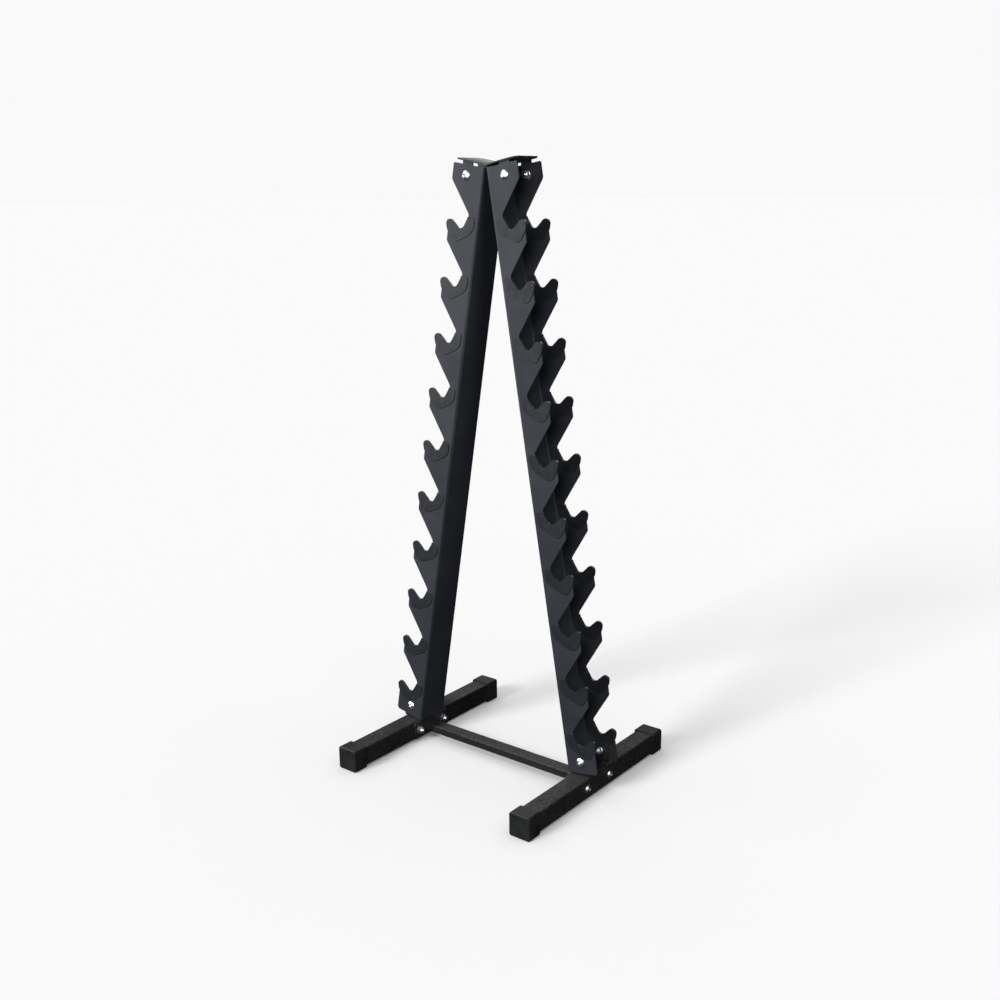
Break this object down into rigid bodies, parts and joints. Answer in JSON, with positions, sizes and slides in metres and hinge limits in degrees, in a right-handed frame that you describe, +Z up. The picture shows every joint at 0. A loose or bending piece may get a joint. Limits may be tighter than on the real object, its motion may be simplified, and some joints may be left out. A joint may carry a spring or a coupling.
{
  "type": "dumbbell rack",
  "caption": "Freestanding A-frame rack with leaning hooked posts on floor tubes; plastic-lined hooks cradle dumbbells by their handles.",
  "frame": {"origin": "on the floor, midway between the two floor tubes and midway between front and back", "axes": "+Z up; +X from the left post to the right post, seen from the front; +Y from front to back"},
  "size_m": [0.635, 0.571, 1.4765],
  "materials": {
    "post_steel": "satin powder coat, blue-black",
    "base_steel": "satin powder coat, black",
    "liner_plastic": "moulded, matte, charcoal",
    "cap_plastic": "moulded, fine-grained matte black",
    "zinc_hardware": "bright zinc plate"
  },
  "bodies": {
    "root": {"base_bolts": "zinc_hardware", "base_nuts": "zinc_hardware", "crossbar": "base_steel", "end_cap_left_back": "cap_plastic", "end_cap_left_front": "cap_plastic", "end_cap_right_back": "cap_plastic", "end_cap_right_front": "cap_plastic", "flat_washers": "zinc_hardware", "foot_bolts": "zinc_hardware", "foot_bracket_left": "base_steel", "foot_bracket_right": "base_steel", "foot_nuts": "zinc_hardware", "foot_tube_left": "base_steel", "foot_tube_right": "base_steel", "liner_left_back_01": "liner_plastic", "liner_left_back_02": "liner_plastic", "liner_left_back_03": "liner_plastic", "liner_left_back_04": "liner_plastic", "liner_left_back_05": "liner_plastic", "liner_left_back_06": "liner_plastic", "liner_left_back_07": "liner_plastic", "liner_left_back_08": "liner_plastic", "liner_left_back_09": "liner_plastic", "liner_left_back_10": "liner_plastic", "liner_left_front_01": "liner_plastic", "liner_left_front_02": "liner_plastic", "liner_left_front_03": "liner_plastic", "liner_left_front_04": "liner_plastic", "liner_left_front_05": "liner_plastic", "liner_left_front_06": "liner_plastic", "liner_left_front_07": "liner_plastic", "liner_left_front_08": "liner_plastic", "liner_left_front_09": "liner_plastic", "liner_left_front_10": "liner_plastic", "liner_right_back_01": "liner_plastic", "liner_right_back_02": "liner_plastic", "liner_right_back_03": "liner_plastic", "liner_right_back_04": "liner_plastic", "liner_right_back_05": "liner_plastic", "liner_right_back_06": "liner_plastic", "liner_right_back_07": "liner_plastic", "liner_right_back_08": "liner_plastic", "liner_right_back_09": "liner_plastic", "liner_right_back_10": "liner_plastic", "liner_right_front_01": "liner_plastic", "liner_right_front_02": "liner_plastic", "liner_right_front_03": "liner_plastic", "liner_right_front_04": "liner_plastic", "liner_right_front_05": "liner_plastic", "liner_right_front_06": "liner_plastic", "liner_right_front_07": "liner_plastic", "liner_right_front_08": "liner_plastic", "liner_right_front_09": "liner_plastic", "liner_right_front_10": "liner_plastic", "post_left": "post_steel", "post_right": "post_steel", "top_bolts": "zinc_hardware", "top_nuts": "zinc_hardware", "top_plate": "post_steel"}
  },
  "joints": []
}
